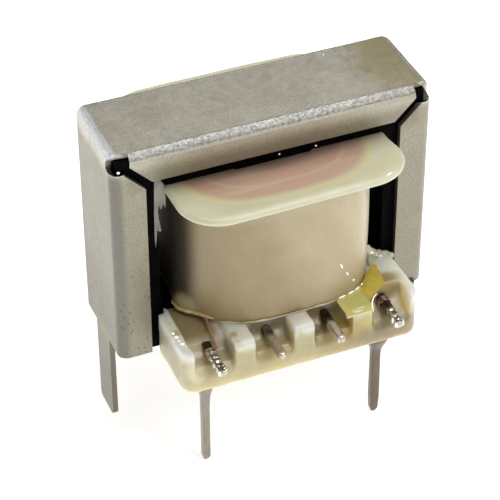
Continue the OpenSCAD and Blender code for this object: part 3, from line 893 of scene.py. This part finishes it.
def solder(name, pin, seed, length=2.95, beads=5.3, width=0.36, bulge=0.10, mat=SOLDER, lumps=0.09):
    """Tinned turns of wire on a post: a lumpy bead along it, with rounded ends."""
    x, z, tip, row = post(pin)
    start, round_end = 0.06, 0.22
    steps, sides = 72, 28
    verts = []
    for i in range(steps + 1):
        t = i / steps
        y = tip - row * (start + length * t)
        bead = abs(math.sin(math.pi * (t * beads + 0.3))) ** 0.7
        close = min(min(t, 1 - t) * length / round_end, 1)
        r0 = width + bulge * bead - 0.05 * max(0.0, 0.5 - t)
        r0 *= math.sqrt(max(1 - (1 - close) ** 2, 0.02))
        ox = 0.05 * noise.noise(Vector((t * 5, seed, 0)))
        for c, s, a in circle(sides):
            lump = lumps * noise.noise(Vector((c * 1.2, s * 1.2, t * length * 2.2 + seed)))
            r = max(r0 - 0.03 * math.cos(4 * a) + lump * close, 0.02)
            verts.append((x + ox + r * c, y, z + r * s))
    return piece(name, verts, ring_faces(steps + 1, sides), mat)


def lead(name, node, path, radius=0.1, mat=COPPER):
    """The end of a winding: a fine wire."""
    ob = tube(name, path, radius, mat, 10)
    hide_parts(node)


def lead_path(node, pin, back, turns=0):
    """From the coil's foot down to a post, at `back` from its tip, and some turns round it."""
    lo, hi = box(node)
    x, z, tip, row = post(pin)
    toward = -1 if x > 0 else 1
    beside, foot, start = x + toward * 0.56, LEDGE + 0.12, tip - row * back
    coil_end = hi.y if row < 0 else lo.y
    path = smooth_path([(beside, coil_end, foot + 0.03), (beside, coil_end + row * 0.5, foot),
                        (beside + toward * 0.03, row * 7.9, foot - 0.02), (beside, row * 8.6, z + 0.95),
                        (beside, start, z + 0.42)])
    for k in range(1, turns * 12):
        a = k * math.pi / 6
        path.append(Vector((x + toward * 0.5 * math.cos(a), start + row * 0.2 * k / 12,
                            z + 0.02 - 0.46 * math.sin(a))))
    return path


LOOSE_END = [(-6.75, -5.5, 4.0), (-6.8, -6.1, 3.86), (-6.88, -7.4, 3.5), (-6.95, -8.6, 3.16),
             (-7.0, -9.25, 3.0)]  # the first front lead runs straight to its post
lead("front_lead_1_wire", "front_lead_1", smooth_path(LOOSE_END), 0.135)
lead("front_lead_2_wire", "front_lead_2", lead_path("front_lead_2", "front_pin_4", 3.35, 3), 0.05, BURNT)
lead("rear_lead_1_wire", "rear_lead_1", lead_path("rear_lead_1", "rear_pin_1", 2.6))
lead("rear_lead_2_wire", "rear_lead_2", lead_path("rear_lead_2", "rear_pin_4", 2.6))
solder("solder_1", "front_pin_1", 3)
solder("solder_2", "front_pin_4", 8, 0.95, 1.2, 0.37)
solder("solder_2_film", "front_pin_4", 2, 1.9, 2.2, 0.32, 0.07)
solder("solder_3", "rear_pin_1", 5)
solder("solder_4", "rear_pin_4", 9)
solder("tinned_3", "front_pin_3", 6, 2.3, 0.5, 0.36, 0.02, TINNED, 0.03)


def meniscus(name, pin, wide, reach=3.1, coat=0.33):
    """Varnish that has crept down a leg from the block's underside, and thins to the wire."""
    x, _, _, row = post(pin)
    wire = 0.325
    steps, sides = 40, 24
    verts = []
    for i in range(steps + 1):
        t = i / steps
        half = coat + wide * math.exp(-(reach * t / 2.4) ** 4) - (coat - wire) * max(0.0, t * 8 - 7)
        n = 2 + 6 * t  # round at the top, square below
        for c, s, _ in circle(sides):
            r = half / (abs(c) ** n + abs(s) ** n) ** (1 / n)
            verts.append((x + r * c, row * LEG_Y + r * s, 0.03 - reach * t))
    return piece(name, verts, ring_faces(steps + 1, sides, caps=False), PIN)


meniscus("leg_varnish_1", "front_pin_1", 0.4, 4.2, 0.34)
meniscus("leg_varnish_2", "front_pin_4", 0.75, 9.3, 0.385)
meniscus("leg_varnish_3", "rear_pin_1", 0.4)
meniscus("leg_varnish_4", "rear_pin_4", 0.5)

# ---------------------------------------------------------------- lead tape

TAPE_LO = box("lead_tape")[0].z
LIFTED, LIFT = 0.8, 0.32  # the height at its lower end that has come away, and how far

tape = soft_copy("yellow_tape", "lead_tape", TAPE, 0.02, 1)
for v in tape.data.vertices:
    v.co.z += LIFT * unit((TAPE_LO + LIFTED - v.co.z / MM) / LIFTED) * MM

# ---------------------------------------------------------------- varnish left by dipping

# outline of the drip in the left window, x and z
DRIP = [(-9.72, 16.45), (-9.3, 16.3), (-8.95, 15.68), (-8.87, 14.4), (-8.91, 13.5), (-9.1, 13.95),
        (-9.25, 13.4), (-9.42, 13.93), (-9.54, 13.3), (-9.46, 12.5), (-9.3, 11.4), (-9.42, 11.35),
        (-9.62, 11.6), (-9.7, 10.8), (-9.8, 9.9), (-9.86, 10.7), (-9.84, 13.05), (-9.78, 15.0)]
# place and size of the lumps heaped behind the front block's right end
HEAP = [(7.95, -4.3, 4.45, 0.5, 0.45, 0.65), (8.35, -4.2, 4.1, 0.6, 0.5, 0.45),
        (8.85, -4.1, 3.85, 0.6, 0.45, 0.35), (9.45, -4.1, 3.7, 0.6, 0.4, 0.27),
        (10.0, -4.3, 3.5, 0.45, 0.3, 0.3), (8.2, -4.9, 3.85, 0.5, 0.6, 0.3)]
# place and radius of the small specks that glow as painted highlights
SPECKS = [(-9.8, -7.0, 3.84, 0.12), (-9.72, -7.5, 3.84, 0.15), (-9.7, -7.95, 3.82, 0.1),
          (-9.6, -8.4, 3.8, 0.16), (-9.45, -8.8, 3.78, 0.11), (-9.5, -9.15, 3.72, 0.16),
          (-9.3, -9.4, 3.72, 0.1), (0.5, -3.7, 15.86, 0.07), (3.57, -3.7, 15.8, 0.08),
          (7.15, 2.98, FRAME_HI.z, 0.06), (8.25, -4.65, 4.6, 0.12), (8.7, -4.55, 4.15, 0.09),
          (9.1, -4.5, 3.9, 0.1), (9.75, -4.4, 3.7, 0.09), (5.2, -7.72, 5.0, 0.09),
          (-12.66, -4.1, 18.05, 0.12), (-7.25, -4.75, 4.2, 0.09)]


def film(name, outline, y, thick, mat):
    """A thin sheet in an upright plane at y, outlined by x and z."""
    n = len(outline)
    verts = [(x, y + d, z) for d in (0, thick) for x, z in outline]
    faces = [tuple(range(n)), tuple(range(2 * n - 1, n - 1, -1))]
    faces += [(k, (k + 1) % n, n + (k + 1) % n, n + k) for k in range(n)]
    return piece(name, verts, faces, mat, smooth=False)


film("window_drip", DRIP, -STACK_Y - 0.09, 0.06, GREY)
for i, (x, y, z, *size) in enumerate(HEAP):
    blob(f"varnish_heap_{i + 1}", (x, y, z), size, MILKY, i + 2, 0.3, 0.8)
blob("varnish_lump", (11.98, -4.14, -0.02), (0.55, 0.34, 0.46), DARK, 4, 0.5)
# specks that glow: painted highlights
for i, (x, y, z, r) in enumerate(SPECKS):
    blob(f"speck_{i + 1}", (x, y, z), (r, r, r * 0.7), GLINT, i, 0.3, level=2)

# varnish along the foot of the wrap, and on its lip
seam = []
for k in range(90):
    wave = 0.05 * noise.noise(Vector((k * 0.21, 0, 0)))
    seam.append((*coil_outline(math.radians(232 + 76 * k / 89), 0.02 + wave), LEDGE + 0.05))
tube("foot_varnish", seam, lambda t: 0.075 + 0.02 * math.sin(t * 23), AMBER, 10)
lip = []
for k in range(40):
    a = math.radians(192 + 34 * k / 39)
    lip.append((*coil_outline(a, lip_reach(a) + 0.02 * math.sin(k * 0.9)), LEDGE + 0.14))
tube("foot_lip", lip, lambda t: 0.04 + 0.14 * math.sin(math.pi * t) ** 0.5, HONEY, 12)

# ridges of clear varnish, glowing as painted highlights
tube("flange_glint", [(7.03, -8.95, 15.44), (7.38, -8.84, 15.47), (7.74, -8.69, 15.44)], swell(0.02, 0.04),
     GLINT, 8)
for i, (p, q) in enumerate((((3.85, 7.3), (4.07, 6.76)), ((4.36, 6.34), (4.58, 5.95)))):
    pts = [(p[0] + (q[0] - p[0]) * t, -8.09, p[1] + (q[1] - p[1]) * t) for t in (0, 0.33, 0.66, 1)]
    tube(f"glint_{i + 1}", smooth_path(pts, 4), swell(0.015, 0.05), GLINT, 8)
for i, (first, last) in enumerate(((285.5, 290.5), (292.5, 298.0), (299.0, 304.0), (306.5, 309.0))):
    angles = [math.radians(first + (last - first) * k / 4) for k in range(5)]
    pts = [(*coil_outline(a, 0.12), LEDGE + 0.2) for a in angles]
    tube(f"edge_glint_{i + 1}", pts, swell(0.025, 0.035), GLINT, 8)
pts = [(6.6, -9.1, 4.2), (6.15, -9.4, 4.05), (5.85, -9.9, 3.95), (5.82, -10.25, 3.55)]
tube("tape_edge_glint", smooth_path(pts, 6), swell(0.03, 0.03), GLINT, 8)

# ---------------------------------------------------------------- floor


def floor():
    """A plain pale floor just below the legs' ends."""
    z, s = CAD_BOX[0].z / MM - 0.02, 1500
    me = bpy.data.meshes.new("floor")
    corners = ((-s, -s, z), (s, -s, z), (s, s, z), (-s, s, z))
    me.from_pydata([Vector(v) * MM for v in corners], [], [(0, 1, 2, 3)])
    material = bpy.data.materials.new("floor")
    material.use_nodes = True
    inputs = material.node_tree.nodes["Principled BSDF"].inputs
    inputs["Base Color"].default_value = (0.9, 0.9, 0.9, 1)
    inputs["Roughness"].default_value = 0.9
    inputs["Specular IOR Level"].default_value = 0.0
    inputs["Emission Color"].default_value = (1, 1, 1, 1)
    inputs["Emission Strength"].default_value = 0.72
    me.materials.append(material)
    ob = bpy.data.objects.new("floor", me)
    scene.collection.objects.link(ob)


floor()
